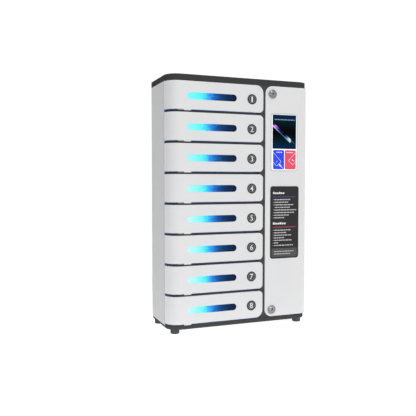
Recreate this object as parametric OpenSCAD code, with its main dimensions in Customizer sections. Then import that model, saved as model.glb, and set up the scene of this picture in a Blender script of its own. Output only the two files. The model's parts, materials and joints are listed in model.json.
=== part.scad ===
// Phone charging kiosk: eight stacked charging bays beside a control column.
// Millimetres, +Z up. The origin is on the floor, under the middle of the cabinet,
// and the doors face -Y. Inside the modules, place() lets X and Y run from the
// cabinet's front left corner, so every length is read straight off the cabinet.

/* [Cabinet] */
// Width of the cabinet
body_w = 439; // [430:1:480]
// Depth of the cabinet
body_d = 165; // [155:1:200]
// Radius of the cap's and base's front corners, and of the bay doors' wrapped corner
corner_r = 35.5; // [30:0.5:35.5]
// Thickness of the side and back panels
panel_t = 1.5; // [1:0.1:1.5]
// Height of the top cap
cap_h = 16.6; // [14:0.1:22]
// Height of the base tray
base_h = 13; // [10:0.5:20]
// Depth at which a wrapped door ends on the side of the cabinet
wrap_depth = 35.5; // [35.5:0.5:38]
// Width of the light trim between a wrapped door and its side panel
trim_w = 9; // [7:0.5:12]

/* [Bays] */
// Distance from one bay to the next
bay_pitch = 85; // [82:0.5:100]
// Gap between two bay doors
door_gap = 7.6; // [7:0.1:9]
// Gap between the last door and the cap or the base
end_gap = 1.2; // [1:0.1:2]
// Right edge of the bay doors, from the cabinet's left side
bay_door_right = 287; // [280:1:292]
// Thickness of the door skins
skin_t = 1.5; // [1.2:0.1:2]
// Depth of the folded edge around each door
fold_d = 8; // [7:0.5:9]
// Radius of the right corners of a bay door
door_corner_r = 11.5; // [8:0.5:14]
// Radius of the corners that meet the cap or the base at the divider
end_corner_r = 22; // [16:1:25]

/* [Windows and badges] */
// Length of the light window
window_w = 148.4; // [120:0.5:160]
// Height of the light window
window_h = 19.3; // [14:0.1:24]
// Left end of the light window
window_left = 55; // [50:1:70]
// Diameter of the number badge
badge_d = 29; // [20:1:32]
// Centre of the number badge
badge_x = 251; // [245:1:260]

/* [Service door] */
// Width of the visible divider between the bay doors and the service door
divider_w = 7.4; // [7:0.1:12]
// Radius of the service door's wrapped corner
service_r = 26.5; // [24:0.5:30]
// Width of the display frame
display_w = 85.5; // [80:0.5:88]
// Height of the display frame
display_h = 165; // [150:0.5:170]
// Width of the instruction plate
plate_w = 94.5; // [80:0.5:94.5]
// Height of the instruction plate
plate_h = 213; // [180:0.5:230]
// Diameter of the key lock heads
lock_head_d = 26; // [24:0.5:28]

/* [Feet] */
// Height of the feet
foot_h = 14.5; // [10:0.5:25]
// Diameter of the feet
foot_d = 25.4; // [20:0.2:27]

/* [Hidden] */
$fn = 64;
eps = 0.01;
far = 400;
bays = 8;

// Heights above the floor
base_top = foot_h + base_h;
door_h = bay_pitch - door_gap;
stack_h = bays * bay_pitch - door_gap + 2 * end_gap;
cap_bottom = base_top + stack_h;
panel_skirt = 6;
panel_bottom = base_top - panel_skirt;
service_gap = end_gap - 0.4;
service_bottom = base_top + service_gap;
service_top = cap_bottom - service_gap;
service_h = service_top - service_bottom;
function bay_mid(n) = base_top + end_gap + door_h / 2 + (bays - n) * bay_pitch;
function shelf_mid(n) = bay_mid(n) - bay_pitch / 2;

// Places across the cabinet
service_left = bay_door_right + divider_w;
divider_mid = bay_door_right + divider_w / 2;
divider_t = 1.5;
divider_right = divider_mid + divider_t / 2;
column_mid = (service_left + body_w) / 2;
seam_gap = 2;
trim_back = wrap_depth + seam_gap + trim_w;
rear_space = 24;
rear_wall_y = body_d - rear_space;
rear_wall_t = 1.5;
back_in = body_d - panel_t;

// Hinge pivots of the wrapped doors
pivot_x = 20;
pivot_y = 14;
pin_r = 2.5;
pin_clear = 0.05;
hinge_boss_r = 6;
hinge_boss_h = 5;
bracket_t = 1.5;
bracket_w = 28;
bracket_clear = 0.3;
pin_boss_r = 7;
pin_boss_h = 9;
pin_in_base = 7;
pin_in_cap = 8;
collar_r = 3.4;
collar_clear = 0.3;

// Shelves
shelf_t = 1.5;
shelf_in = 4;
shelf_bar_h = door_gap - 2;

// Bay door details
window_drop = 1.5;
window_clear = 0.1;
carrier_t = 3;
badge_t = 0.6;
badge_drop = 2;
lug_x = 45;
lug_w = 21;
lug_h = 3;

// Bay locks
bolt_r = 3;
bolt_y = 22;
bolt_len = 13.6;
bolt_tip = bay_door_right + 1.4;
bolt_clear = 0.05;
bolt_hole_clear = 0.4;
strike_depth = 30;
strike_h = 22;
lock_w = 14.5;
lock_d = 30;
lock_h = 19;
lock_y = 15.5;

// Service door details
display_in = 18.9;
display_drop = 79.6;
display_x = service_left + display_in;
display_z = cap_bottom - display_drop;
display_border = 2.2;
display_r = 6;
display_lap = 1;
plate_in = 16.5;
plate_drop = 290.6;
plate_x = service_left + plate_in;
plate_z = cap_bottom - plate_drop;
plate_t = 0.8;
plate_r = 7.5;
key_in = 22.3;
key_drop = 23.8;
key_rise = 20.6;
key_x = service_left + key_in;
key_top_z = cap_bottom - key_drop;
key_bottom_z = base_top + key_rise;
barrel_r = 9.5;
barrel_len = 15;
head_t = 3.5;
plug_r = 6;
plug_clear = 0.05;
cam_reach = 19.5;
cam_w = 10;
cam_t = 2.5;
cam_y = 17;
keeper_y = 14.5;
keeper_h = 18;
keeper_above = 5.6;
keeper_below = 10.4;

// Electronics
psu = [98, 38, 165];
board = [88, 1.6, 150];
inlet_x = 375;
inlet_rise = 42;
inlet_z = base_top + inlet_rise;
inlet_hole = [27.4, 20];
wall_hole_r = 3.5;
wall_span = [300, 500];
grommet_x = 145;
grommet_r = 8;
screw_r = 1.9;
screw_clear = 0.1;
back_screw_in = 9;
back_screw_rows = 5;
back_screw_margin = 15;

BAYS = [1 : bays];

// ---- Shared shapes ----

// From the front left corner of the cabinet to the centred frame
module place() {
    translate([-body_w / 2, -body_d / 2, 0]) children();
}

// A box between two corners
module block(a, b) {
    translate(a) cube(b - a);
}

// A flat outline drawn in X and Z, standing from depth y0 to depth y1
module upright(y0, y1) {
    translate([0, y1, 0]) rotate([90, 0, 0]) linear_extrude(y1 - y0) children();
}

// A cylinder along Y, from depth y0 to depth y1
module rod_y(x, z, r, y0, y1) {
    translate([x, y0, z]) rotate([-90, 0, 0]) cylinder(h = y1 - y0, r = r);
}

// A rectangle whose corners are rounded: bottom left, bottom right, top right, top left
module rounded_rect(w, h, r) {
    difference() {
        square([w, h]);
        if (r[0] > 0) corner_cut([0, 0], r[0], 0);
        if (r[1] > 0) corner_cut([w, 0], r[1], 90);
        if (r[2] > 0) corner_cut([w, h], r[2], 180);
        if (r[3] > 0) corner_cut([0, h], r[3], 270);
    }
}

// What a rounded corner takes away from a square one
module corner_cut(at, r, turn) {
    translate(at) rotate(turn) difference() {
        translate([-1, -1]) square(r + 1);
        translate([r, r]) circle(r);
    }
}

// A slot with round ends, lying along X
module pill(w, h) {
    translate([h / 2, h / 2]) circle(h / 2);
    translate([w - h / 2, h / 2]) circle(h / 2);
    translate([h / 2, 0]) square([w - h, h]);
}

// The cabinet's outline from above, drawn in from its edges
module plan(side, front, back) {
    r = corner_r - max(side, front);
    translate([side, front])
        rounded_rect(body_w - 2 * side, body_d - front - back, [r, r, 0, 0]);
}

// ---- Doors ----

// Plan of a sheet that runs along the front and wraps the left corner.
// It lies between depths a and b behind the outer surface.
module wrap_plan(r, right, wrap, a, b) {
    difference() {
        union() {
            translate([r, r]) circle(r - a);
            translate([r, a]) square([right - r, b - a]);
            translate([a, r]) square([b - a, wrap - r + eps]);
        }
        translate([r, r]) circle(r - b);
        translate([r, b]) square([r, r]);
        translate([b, r]) square([2 * r, r]);
        translate([-1, wrap]) square([2 * r, 2 * r]);
    }
}

// Front outline of a door. It runs past the left side, where the door wraps round.
module door_outline(right, h, inset, r) {
    translate([-10, inset])
        rounded_rect(right + 10 - inset, h - 2 * inset,
            [0, max(r[0] - inset, 0), max(r[1] - inset, 0), 0]);
}

// A sheet door with folded edges, wrapped round its left corner, bottom at z = 0
module door_pan(r, right, h, corners) {
    difference() {
        intersection() {
            linear_extrude(h) wrap_plan(r, right, wrap_depth, 0, fold_d);
            upright(-1, body_d) door_outline(right, h, 0, corners);
        }
        intersection() {
            translate([0, 0, -1])
                linear_extrude(h + 2) wrap_plan(r, right, wrap_depth + 1, skin_t, fold_d + 1);
            upright(-1, body_d) door_outline(right, h, skin_t, corners);
        }
        translate([pivot_x, pivot_y, -1]) cylinder(h = h + 2, r = hinge_boss_r);
    }
    translate([0, 0, skin_t]) hinge_bracket(r);
    translate([0, 0, h - skin_t]) mirror([0, 0, 1]) hinge_bracket(r);
}

// Plate welded inside a folded edge, with the bush that carries the door on its pin
module hinge_bracket(r) {
    inner_r = r - skin_t - bracket_clear;
    difference() {
        union() {
            linear_extrude(bracket_t) intersection() {
                translate([pivot_x - bracket_w / 2, skin_t + bracket_clear])
                    square([bracket_w, pivot_y + hinge_boss_r - skin_t - bracket_clear]);
                union() {
                    translate([r, r]) circle(inner_r);
                    translate([r, r - inner_r]) square([r, 2 * inner_r]);
                }
            }
            translate([pivot_x, pivot_y, 0]) cylinder(h = hinge_boss_h, r = hinge_boss_r);
        }
        translate([pivot_x, pivot_y, -1])
            cylinder(h = hinge_boss_h + 2, r = pin_r + pin_clear);
    }
}

module bay_door(n) {
    bottom_r = n == bays ? end_corner_r : door_corner_r;
    top_r = n == 1 ? end_corner_r : door_corner_r;
    strike_x = bay_door_right - skin_t;
    color("whitesmoke") place() translate([0, 0, bay_mid(n) - door_h / 2]) {
        difference() {
            door_pan(corner_r, bay_door_right, door_h, [bottom_r, top_r]);
            translate([window_left - window_clear, 0, 0]) upright(-1, skin_t + 1)
                translate([0, (door_h - window_h) / 2 - window_drop - window_clear])
                    pill(window_w + 2 * window_clear, window_h + 2 * window_clear);
        }
        difference() {
            block([strike_x, fold_d, (door_h - strike_h) / 2],
                [bay_door_right, strike_depth, (door_h + strike_h) / 2]);
            translate([strike_x - 1, bolt_y, door_h / 2]) rotate([0, 90, 0])
                cylinder(h = skin_t + 2, r = bolt_r + bolt_hole_clear);
        }
        upright(0, skin_t) translate([lug_x, -lug_h])
            rounded_rect(lug_w, lug_h + skin_t, [lug_h / 2, lug_h / 2, 0, 0]);
    }
}

module window(n) {
    edge = 3;
    color("deepskyblue") place() translate([0, 0, bay_mid(n)]) {
        upright(0.2, skin_t + eps) translate([window_left, -window_h / 2 - window_drop])
            pill(window_w, window_h);
        block([corner_r + edge, skin_t, -door_h / 2 + edge],
            [bay_door_right - end_corner_r / 2 - edge - 1, skin_t + carrier_t, door_h / 2 - edge]);
    }
}

module badge(n) {
    color("dimgray") place()
        rod_y(badge_x, bay_mid(n) - badge_drop, badge_d / 2, -badge_t, 0);
}

// ---- Cabinet ----

module top_cap() {
    wall = 2;
    color([0.27, 0.27, 0.28]) place() difference() {
        union() {
            difference() {
                translate([0, 0, cap_bottom]) linear_extrude(cap_h) plan(0, 0, 0);
                translate([0, 0, cap_bottom - 1])
                    linear_extrude(cap_h + 1 - wall) plan(wall, wall, wall);
            }
            for (x = [pivot_x, body_w - pivot_x])
                translate([x, pivot_y, cap_bottom]) cylinder(h = cap_h - eps, r = pin_boss_r);
        }
        for (x = [pivot_x, body_w - pivot_x])
            translate([x, pivot_y, cap_bottom - 1]) cylinder(h = pin_in_cap + 1, r = pin_r);
    }
}

module base_tray() {
    wall = 2;
    notch = [lug_w + 4, 2.5, lug_h + 2];
    color([0.27, 0.27, 0.28]) place() difference() {
        union() {
            difference() {
                translate([0, 0, foot_h]) linear_extrude(base_h) plan(panel_t, 0, panel_t);
                translate([0, 0, foot_h - 1]) linear_extrude(base_h + 1 - wall)
                    plan(panel_t + wall, wall, panel_t + wall);
            }
            for (p = foot_places())
                translate([p[0], p[1], foot_h]) cylinder(h = base_h - eps, r = pin_boss_r);
            for (x = [pivot_x, body_w - pivot_x])
                translate([x, pivot_y, base_top - pin_boss_h])
                    cylinder(h = pin_boss_h - eps, r = pin_boss_r);
        }
        for (x = [pivot_x, body_w - pivot_x])
            translate([x, pivot_y, base_top - pin_in_base]) cylinder(h = pin_in_base + 1, r = pin_r);
        for (p = foot_places())
            translate([p[0], p[1], foot_h - 1]) cylinder(h = base_h - 1, r = screw_r);
        translate([lug_x - 2, -1, base_top - lug_h - 1]) cube(notch);
    }
}

function foot_places() = [
    [25, 23], [body_w - 25, 23], [16, body_d - 14], [body_w - 16, body_d - 14]
];

module feet() {
    edge = 2.5;
    hole_r = 5;
    color([0.13, 0.13, 0.14]) place() for (p = foot_places()) translate([p[0], p[1], 0])
        rotate_extrude() difference() {
            union() {
                translate([screw_r + screw_clear, 0])
                    square([foot_d / 2 - edge - screw_r - screw_clear, foot_h]);
                translate([foot_d / 2 - edge - 1, edge]) square([edge + 1, foot_h - edge]);
                translate([foot_d / 2 - edge, edge]) circle(edge);
            }
            translate([0, -1]) square([hole_r, 6]);
        }
}

module side_panel() {
    flange = 15;
    color("gainsboro") {
        block([0, trim_back, panel_bottom], [panel_t, back_in, cap_bottom]);
        difference() {
            block([panel_t - eps, back_in - panel_t, base_top], [flange, back_in, cap_bottom]);
            for (z = back_screw_heights())
                rod_y(back_screw_in, z, screw_r + screw_clear, back_in - panel_t - 1, body_d);
        }
    }
}

module left_side_panel() {
    place() side_panel();
}

module right_side_panel() {
    place() translate([body_w, 0, 0]) mirror([1, 0, 0]) side_panel();
}

function back_screw_heights() = [for (i = [0 : back_screw_rows - 1])
    base_top + back_screw_margin + i * (stack_h - 2 * back_screw_margin) / (back_screw_rows - 1)];

module back_panel() {
    slot_w = 70;
    slot_h = 5;
    slots = 9;
    slot_step = 12;
    color("gainsboro") place() difference() {
        block([0, back_in, base_top], [body_w, body_d, cap_bottom]);
        for (x = [back_screw_in, body_w - back_screw_in], z = back_screw_heights())
            rod_y(x, z, screw_r + screw_clear, back_in - 1, body_d + 1);
        for (x = [-1, 1], z = [-1, 1])
            rod_y((body_w + x * wall_span[0]) / 2, bay_mid(4.5) + z * wall_span[1] / 2,
                wall_hole_r, back_in - 1, body_d + 1);
        for (x = [grommet_x - slot_w / 2, column_mid - slot_w / 2], i = [0 : slots - 1])
            upright(back_in - 1, body_d + 1)
                translate([x, bay_mid(3) + i * slot_step]) pill(slot_w, slot_h);
        upright(back_in - 1, body_d + 1)
            translate([inlet_x - inlet_hole[0] / 2, inlet_z - inlet_hole[1] / 2])
                square(inlet_hole);
    }
}

module seam_trims() {
    lap = 3;
    tongue = 14;
    color([0.72, 0.77, 0.86]) place() for (side = [0, 1])
        translate([side * body_w, 0, 0]) mirror([side, 0, 0]) {
            block([0, wrap_depth + seam_gap, panel_bottom], [panel_t, trim_back, cap_bottom]);
            block([panel_t, trim_back - lap, base_top],
                [2 * panel_t, trim_back + tongue, cap_bottom]);
        }
}

// Front outline of the bay doors and the service door, grown by the gap round them
module door_openings(grow) {
    for (n = BAYS)
        translate([0, bay_mid(n) - door_h / 2]) door_outline(bay_door_right, door_h, -grow,
            [n == bays ? end_corner_r : door_corner_r, n == 1 ? end_corner_r : door_corner_r]);
    translate([service_left - grow, service_bottom - grow])
        rounded_rect(body_w, service_h + 2 * grow,
            [end_corner_r + grow, 0, 0, end_corner_r + grow]);
}

module divider_post() {
    face_y = 0.6;
    grow = 0.8;
    spur = 13;
    end_spur = 26;
    color([0.27, 0.27, 0.28]) place() {
        upright(face_y, face_y + divider_t) difference() {
            union() {
                translate([bay_door_right - spur, base_top])
                    square([2 * spur + divider_w, stack_h]);
                for (z = [base_top, cap_bottom - end_spur])
                    translate([bay_door_right - end_spur, z])
                        square([2 * end_spur + divider_w, end_spur]);
            }
            door_openings(grow);
        }
        difference() {
            block([divider_mid - divider_t / 2, face_y + divider_t - eps, base_top],
                [divider_right, back_in, cap_bottom]);
            for (n = BAYS) translate([divider_mid - divider_t, bolt_y, bay_mid(n)])
                rotate([0, 90, 0]) cylinder(h = 2 * divider_t, r = bolt_r + bolt_hole_clear);
        }
    }
}

// Angles on the divider that the key locks' cams turn behind
module cam_keepers() {
    lip = 10.5;
    lip_t = 1.5;
    leg = 14;
    color("silver") place() for (z = [key_top_z - keeper_above, key_bottom_z - keeper_below])
        translate([divider_right, keeper_y, z]) {
            cube([lip, lip_t, keeper_h]);
            cube([lip_t, leg, keeper_h]);
        }
}

// Plan of one shelf: it follows the doors round the corner, inside them
module shelf_plan(inset) {
    r = corner_r - inset;
    translate([inset, inset])
        rounded_rect(divider_mid - divider_t / 2 - inset, rear_wall_y - inset, [r, 0, 0, 0]);
}

module bay_shelves() {
    bar_t = 1.5;
    bar_right = bay_door_right - 14;
    color([0.22, 0.22, 0.23]) place() {
        for (n = [1 : bays - 1]) translate([0, 0, shelf_mid(n)]) {
            translate([0, 0, -shelf_t / 2]) linear_extrude(shelf_t) difference() {
                union() {
                    shelf_plan(shelf_in);
                    translate([panel_t * 2, trim_back + 1])
                        square([divider_mid - divider_t / 2 - panel_t * 2,
                            rear_wall_y - trim_back - 1]);
                }
                translate([pivot_x, pivot_y]) circle(pin_r);
                translate([0, rear_wall_y]) square([far, far]);
                translate([divider_mid - divider_t / 2, 0]) square([far, far]);
            }
            translate([0, 0, -shelf_bar_h / 2]) linear_extrude(shelf_bar_h) intersection() {
                difference() {
                    shelf_plan(shelf_in);
                    shelf_plan(shelf_in + bar_t);
                }
                square([bar_right, corner_r]);
            }
        }
    }
}

module bay_rear_wall() {
    color("whitesmoke") place() difference() {
        block([panel_t, rear_wall_y, base_top],
            [divider_mid - divider_t / 2, rear_wall_y + rear_wall_t, cap_bottom]);
        for (n = BAYS)
            rod_y(grommet_x, bay_mid(n), grommet_r, rear_wall_y - 1, rear_wall_y + rear_wall_t + 1);
    }
}

module cable_grommets() {
    lip = 3;
    lip_t = 2;
    hole_r = 4;
    color([0.12, 0.12, 0.13]) place() for (n = BAYS) difference() {
        union() {
            rod_y(grommet_x, bay_mid(n), grommet_r, rear_wall_y, rear_wall_y + rear_wall_t);
            rod_y(grommet_x, bay_mid(n), grommet_r + lip, rear_wall_y - lip_t, rear_wall_y);
            rod_y(grommet_x, bay_mid(n), grommet_r + lip, rear_wall_y + rear_wall_t,
                rear_wall_y + rear_wall_t + lip_t);
        }
        rod_y(grommet_x, bay_mid(n), hole_r, rear_wall_y - lip_t - 1,
            rear_wall_y + rear_wall_t + lip_t + 1);
    }
}

// One pin through each shelf, with a collar on the shelf, and a short pin at each end
module pivot_pins() {
    reach = 6;
    color("silver") place() {
        for (n = [1 : bays - 1]) translate([pivot_x, pivot_y, shelf_mid(n)]) {
            translate([0, 0, -door_gap / 2 - reach])
                cylinder(h = door_gap + 2 * reach, r = pin_r);
            translate([0, 0, shelf_t / 2])
                cylinder(h = (door_gap - shelf_t) / 2 - collar_clear, r = collar_r);
        }
        for (x = [pivot_x, body_w - pivot_x]) {
            translate([x, pivot_y, base_top - pin_in_base])
                cylinder(h = pin_in_base + end_gap + reach, r = pin_r);
            translate([x, pivot_y, cap_bottom - end_gap - reach])
                cylinder(h = pin_in_cap + end_gap + reach, r = pin_r);
        }
    }
}

// ---- Bay locks ----

module lock_modules() {
    plug = [7, 8, 5];
    plug_x = 4;
    end_wall = 3;
    color([0.2, 0.2, 0.22]) place() for (n = BAYS) translate([divider_right, lock_y, bay_mid(n)])
        difference() {
            union() {
                block([0, 0, -lock_h / 2], [lock_w, lock_d, lock_h / 2]);
                translate([plug_x, lock_d - eps, -plug[2] / 2]) cube(plug);
            }
            translate([-1, bolt_y - lock_y, 0]) rotate([0, 90, 0])
                cylinder(h = lock_w - end_wall + 1, r = bolt_r + bolt_clear);
        }
}

module lock_bolt(n) {
    chamfer = 1;
    color("silver") place() translate([bolt_tip, bolt_y, bay_mid(n)]) rotate([0, 90, 0]) {
        translate([0, 0, chamfer]) cylinder(h = bolt_len - chamfer, r = bolt_r);
        cylinder(h = chamfer + eps, r1 = bolt_r - chamfer, r2 = bolt_r);
    }
}

// ---- Electronics ----

module led_bars() {
    bar = [3, 60, 6];
    bar_y = 67;
    bar_drop = 12;
    color("white") place() for (n = BAYS)
        translate([panel_t, bar_y, bay_mid(n) + door_h / 2 - bar_drop]) cube(bar);
}

module charging_modules() {
    pcb = [60, 1.6, 34];
    chip = [18, 9, 14];
    chip_places = [6, 32];
    chip_rise = 8;
    beside = 30;
    standoff = [3, 4, 3];
    color("seagreen") place() for (n = BAYS)
        translate([grommet_x + beside, rear_wall_y + rear_wall_t + standoff[1],
                bay_mid(n) - pcb[2] / 2]) {
            cube(pcb);
            for (x = chip_places) translate([x, pcb[1] - eps, chip_rise]) cube(chip);
            for (x = [standoff[0], pcb[0] - 2 * standoff[0]],
                    z = [standoff[2], pcb[2] - 2 * standoff[2]])
                translate([x, -standoff[1], z]) cube(standoff + [0, eps, 0]);
        }
}

module control_board() {
    standoff = [6, 10, 6];
    margin = 3;
    rise = 10;
    chips = [[10, 20, 30, 6, 30], [52, 24, 20, 10, 22], [14, 84, 22, 12, 34], [50, 90, 26, 8, 40]];
    color("darkgreen") place() translate([column_mid - board[0] / 2,
            back_in - standoff[1] - board[1], bay_mid(4) + rise]) {
        cube(board);
        for (c = chips) translate([c[0], -c[3], c[1]]) cube([c[2], c[3] + eps, c[4]]);
        for (x = [margin, board[0] - margin - standoff[0]],
                z = [margin, board[2] - margin - standoff[2]])
            translate([x, board[1] - eps, z]) cube(standoff + [0, eps, 0]);
    }
}

module power_supply() {
    rise = 15;
    vents = 8;
    vent_h = 4;
    vent_deep = 4;
    vent_step = 14;
    vent_margin = 12;
    first_vent = 30;
    color("lightgray") place()
        translate([column_mid - psu[0] / 2, back_in - psu[1], bay_mid(7) + rise])
            difference() {
                cube(psu);
                for (i = [0 : vents - 1])
                    translate([vent_margin, 0, first_vent + i * vent_step])
                        upright(-1, vent_deep) pill(psu[0] - 2 * vent_margin, vent_h);
            }
}

module power_inlet() {
    flange = [50, 2, 24];
    housing = [27, 20, 19.6];
    cavity = [24.4, 16, 16.6];
    blade = [2, 13, 4];
    blades = [[-7, -3], [7, -3], [0, 1.5]];
    blade_gap = 0.05;
    color([0.1, 0.1, 0.11]) place() translate([inlet_x, body_d, inlet_z]) {
        difference() {
            union() {
                block([-flange[0] / 2, 0, -flange[2] / 2], [flange[0] / 2, flange[1], flange[2] / 2]);
                block([-housing[0] / 2, -housing[1], -housing[2] / 2],
                    [housing[0] / 2, eps, housing[2] / 2]);
            }
            block([-cavity[0] / 2, flange[1] - cavity[1], -cavity[2] / 2],
                [cavity[0] / 2, flange[1] + 1, cavity[2] / 2]);
        }
        for (b = blades) translate([b[0] - blade[0] / 2, flange[1] - cavity[1] + blade_gap, b[1]])
            cube(blade);
    }
}

// Cross-head screws in the back panel, and the screws that hold the feet
module screws() {
    head_r = 3.6;
    head_t = 2;
    shank = 7;
    cross = [4, 0.8];
    foot_head_z = 3;
    foot_tip_z = base_top - 4.5;
    color("silver") place() {
        for (x = [back_screw_in, body_w - back_screw_in], z = back_screw_heights()) {
            rod_y(x, z, screw_r, body_d - shank, body_d + eps);
            difference() {
                rod_y(x, z, head_r, body_d, body_d + head_t);
                for (arm = [cross, [cross[1], cross[0]]])
                    block([x - arm[0] / 2, body_d + head_t / 2, z - arm[1] / 2],
                        [x + arm[0] / 2, body_d + head_t + 1, z + arm[1] / 2]);
            }
        }
        for (p = foot_places()) translate([p[0], p[1], 0]) {
            translate([0, 0, foot_head_z + head_t - eps])
                cylinder(h = foot_tip_z - foot_head_z - head_t, r = screw_r);
            translate([0, 0, foot_head_z]) cylinder(h = head_t, r = head_r);
        }
    }
}

// ---- Service door ----

module service_door() {
    cut = display_lap;
    color("whitesmoke") place() difference() {
        translate([body_w, 0, service_bottom]) mirror([1, 0, 0])
            door_pan(service_r, body_w - service_left, service_h, [end_corner_r, end_corner_r]);
        upright(-1, skin_t + 1) display_area(cut);
        for (z = [key_top_z, key_bottom_z])
            rod_y(key_x, z, barrel_r, -1, skin_t + 1);
    }
}

// Outline of the display frame, set in on every side
module display_area(inset) {
    translate([display_x + inset, display_z - display_h + inset])
        rounded_rect(display_w - 2 * inset, display_h - 2 * inset,
            (display_r - inset) * [1, 1, 1, 1]);
}

module display_frame() {
    frame_t = 1;
    color("white") place() upright(-frame_t, 0) difference() {
        display_area(0);
        display_area(display_border);
    }
}

module display_screen() {
    edge = display_lap + 0.2;
    screen_t = 2;
    color("midnightblue") place() upright(0, screen_t) display_area(edge);
}

module display_housing() {
    edge = 5;
    front = 2;
    depth = 24;
    lid = [60, 4, 110];
    color([0.2, 0.2, 0.21]) place() {
        block([display_x - edge, front, display_z - display_h - edge],
            [display_x + display_w + edge, front + depth, display_z + edge]);
        translate([display_x + (display_w - lid[0]) / 2, front + depth - eps,
                display_z - (display_h + lid[2]) / 2]) cube(lid);
    }
}

module instruction_plate() {
    color([0.21, 0.21, 0.23]) place() upright(-plate_t, 0)
        translate([plate_x, plate_z - plate_h])
            rounded_rect(plate_w, plate_h, plate_r * [1, 1, 1, 1]);
}

// Barrel of a key lock: head in front of the skin, nut behind it
module lock_barrels() {
    nut_r = 14;
    nut_t = 4;
    color("silver") place() for (z = [key_top_z, key_bottom_z]) difference() {
        union() {
            rod_y(key_x, z, lock_head_d / 2 - 1, -head_t, 0);
            rod_y(key_x, z, lock_head_d / 2, 1 - head_t, 0);
            rod_y(key_x, z, barrel_r, -eps, barrel_len);
            translate([key_x, skin_t, z]) rotate([-90, 30, 0])
                cylinder(h = nut_t, r = nut_r, $fn = 6);
        }
        rod_y(key_x, z, plug_r + plug_clear, -head_t - 1, barrel_len + 1);
    }
}

// Plug with its key slot and cam. At rest the cam points up, or down at the bottom lock
module lock_plug(z, up) {
    slot = [8.5, 1.8];
    slot_end = 3;
    stud_r = 3;
    stud_h = 3;
    color("lightgray") place() {
        difference() {
            rod_y(key_x, z, plug_r, 0.6 - head_t, cam_y + eps);
            block([key_x - slot[1] / 2, -head_t, z - slot[0] / 2],
                [key_x + slot[1] / 2, slot_end, z + slot[0] / 2]);
        }
        rod_y(key_x, z, plug_r, cam_y, cam_y + cam_t);
        upright(cam_y, cam_y + cam_t) translate([key_x, z]) mirror([0, up ? 0 : 1]) {
            translate([-cam_w / 2, 0]) square([cam_w, cam_reach - cam_w / 2]);
            translate([0, cam_reach - cam_w / 2]) circle(cam_w / 2);
        }
        rod_y(key_x, z, stud_r, cam_y + cam_t - eps, cam_y + cam_t + stud_h);
    }
}

top_cap();
base_tray();
feet();
left_side_panel();
right_side_panel();
back_panel();
seam_trims();
divider_post();
cam_keepers();
bay_shelves();
bay_rear_wall();
cable_grommets();
pivot_pins();
lock_modules();
led_bars();
charging_modules();
control_board();
power_supply();
power_inlet();
screws();
for (n = BAYS) {
    bay_door(n);
    window(n);
    badge(n);
    lock_bolt(n);
}
service_door();
display_frame();
display_screen();
display_housing();
instruction_plate();
lock_barrels();
lock_plug(key_top_z, true);  // lock_plug_top
lock_plug(key_bottom_z, false);  // lock_plug_bottom
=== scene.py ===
import json
import math
import random

import bmesh
import bpy
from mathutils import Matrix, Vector


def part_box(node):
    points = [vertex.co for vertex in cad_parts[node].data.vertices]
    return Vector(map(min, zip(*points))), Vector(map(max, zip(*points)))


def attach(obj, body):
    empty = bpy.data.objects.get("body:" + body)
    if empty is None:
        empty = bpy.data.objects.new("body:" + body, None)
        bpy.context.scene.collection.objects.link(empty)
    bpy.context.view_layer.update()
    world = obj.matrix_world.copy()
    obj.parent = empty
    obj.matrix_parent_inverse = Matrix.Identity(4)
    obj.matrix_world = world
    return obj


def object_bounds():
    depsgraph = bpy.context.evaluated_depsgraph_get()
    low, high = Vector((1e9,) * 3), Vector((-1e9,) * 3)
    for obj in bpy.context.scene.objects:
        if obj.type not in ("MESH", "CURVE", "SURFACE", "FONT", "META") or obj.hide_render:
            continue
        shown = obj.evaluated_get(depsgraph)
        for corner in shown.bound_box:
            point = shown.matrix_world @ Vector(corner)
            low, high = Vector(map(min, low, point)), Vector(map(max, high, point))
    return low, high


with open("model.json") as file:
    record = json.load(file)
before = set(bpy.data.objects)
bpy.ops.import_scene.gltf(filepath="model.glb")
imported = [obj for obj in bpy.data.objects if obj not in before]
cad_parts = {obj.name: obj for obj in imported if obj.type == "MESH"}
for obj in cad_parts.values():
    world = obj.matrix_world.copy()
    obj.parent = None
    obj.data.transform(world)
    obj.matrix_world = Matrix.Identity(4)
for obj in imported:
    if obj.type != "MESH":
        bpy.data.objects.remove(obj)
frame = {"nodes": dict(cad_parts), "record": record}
cad_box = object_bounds()

# Looks of the phone charging kiosk. Metres, +Z up, the doors face -Y. Each piece takes its
# place from the box of the CAD node that it sits on, and rides on that node's body.

MM = 0.001
BAYS = range(1, 9)
WINDOW_HEIGHT = 19.3 * MM
WINDOW_LENGTH = 148.4 * MM
WINDOW_LEFT = 55 * MM
WINDOW_DROP = 1.5 * MM
DOOR_HEIGHT = 77.4 * MM
HEAD_RADIUS = 13 * MM
NUT_ACROSS = 28 * MM
CORNER_RADIUS = 35.5 * MM
LEFT_SIDE = cad_box[0].x
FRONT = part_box("door_1")[0].y


# ---- Colours and node materials ----

def srgb(red, green, blue):
    """Linear colour of an 8-bit screen colour."""
    def linear(level):
        level /= 255
        return level / 12.92 if level <= 0.04045 else ((level + 0.055) / 1.055) ** 2.4
    return (linear(red), linear(green), linear(blue), 1)


def tinted(color, share):
    """The colour made lighter, or darker for a share under 1."""
    return tuple(min(1, c * share) for c in color[:3]) + (1,)


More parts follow.
